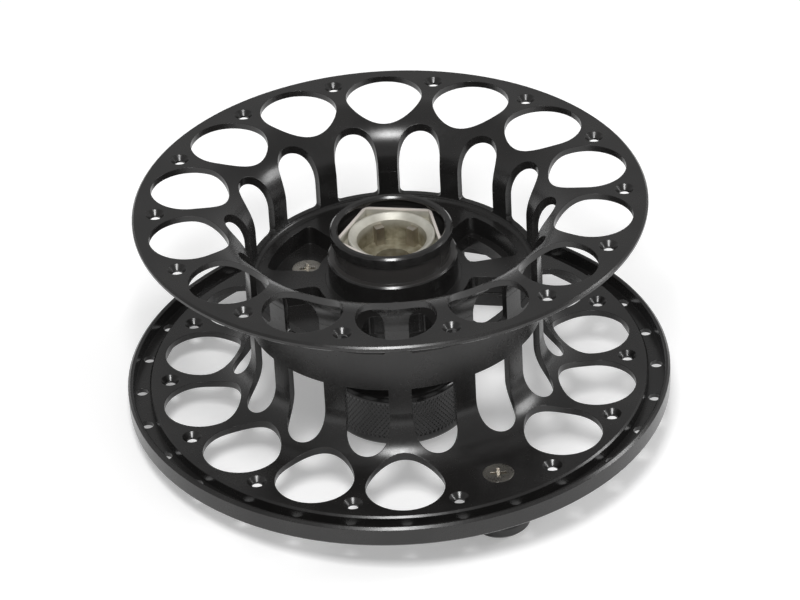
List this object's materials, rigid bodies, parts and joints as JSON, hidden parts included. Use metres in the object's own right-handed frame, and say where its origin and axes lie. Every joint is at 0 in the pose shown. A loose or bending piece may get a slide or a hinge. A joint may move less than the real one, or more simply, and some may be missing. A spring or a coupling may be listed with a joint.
{
  "type": "fly reel spool",
  "caption": "Large-arbor fly reel spool: two perforated flanges on a slotted drum, with a webbed hub, drive socket, captive knurled knob and a turning crank grip.",
  "frame": {"origin": "on the spool axis, in the plane of the lower end of the handle grip, the lowest point of the part", "axes": "+Z along the spool axis from the knob side towards the drive socket; +X passes through a small countersunk hole of each flange; the handle lies 295.7 degrees round from +X"},
  "size_m": [0.1, 0.1, 0.0473],
  "materials": {
    "anodised_black": "black anodised, satin",
    "hub_black": "black anodised, glossy",
    "seal_rubber": "black nitrile rubber",
    "nickel_plate": "satin nickel plate",
    "dark_steel": "hardened steel",
    "bronze": "sintered bronze",
    "stainless": "stainless steel",
    "acetal": "acetal plastic",
    "brass_nut": "machined brass",
    "grip_black": "black anodised, satin"
  },
  "bodies": {
    "spool": {"upper_flange": "anodised_black", "arbor_drum": "anodised_black", "web_plate": "anodised_black", "lower_flange": "anodised_black", "palming_rim": "anodised_black", "hub_tube": "hub_black", "drive_socket": "nickel_plate", "drive_dog_1": "dark_steel", "drive_dog_2": "dark_steel", "upper_bush": "bronze", "lower_bush": "bronze", "hub_screw": "stainless", "handle_screw": "stainless", "counterweight_screw": "stainless", "knob_seal": "seal_rubber", "retaining_ring": "dark_steel", "thrust_washer": "acetal", "handle_post": "stainless", "handle_washer": "acetal", "counterweight": "stainless"},
    "knob": {"knob_shell": "hub_black", "knob_cap": "hub_black", "knob_insert": "brass_nut"},
    "grip": {"handle_grip": "grip_black"}
  },
  "joints": [
    {"name": "knob_turn", "type": "hinge", "parent": "spool", "child": "knob", "pos_m": [0, 0, 0.0079], "axis": [0, 0, 1], "continuous": true},
    {"name": "grip_spin", "type": "hinge", "parent": "spool", "child": "grip", "pos_m": [0.01662, -0.03451, 0.0045], "axis": [0, 0, 1], "continuous": true}
  ]
}
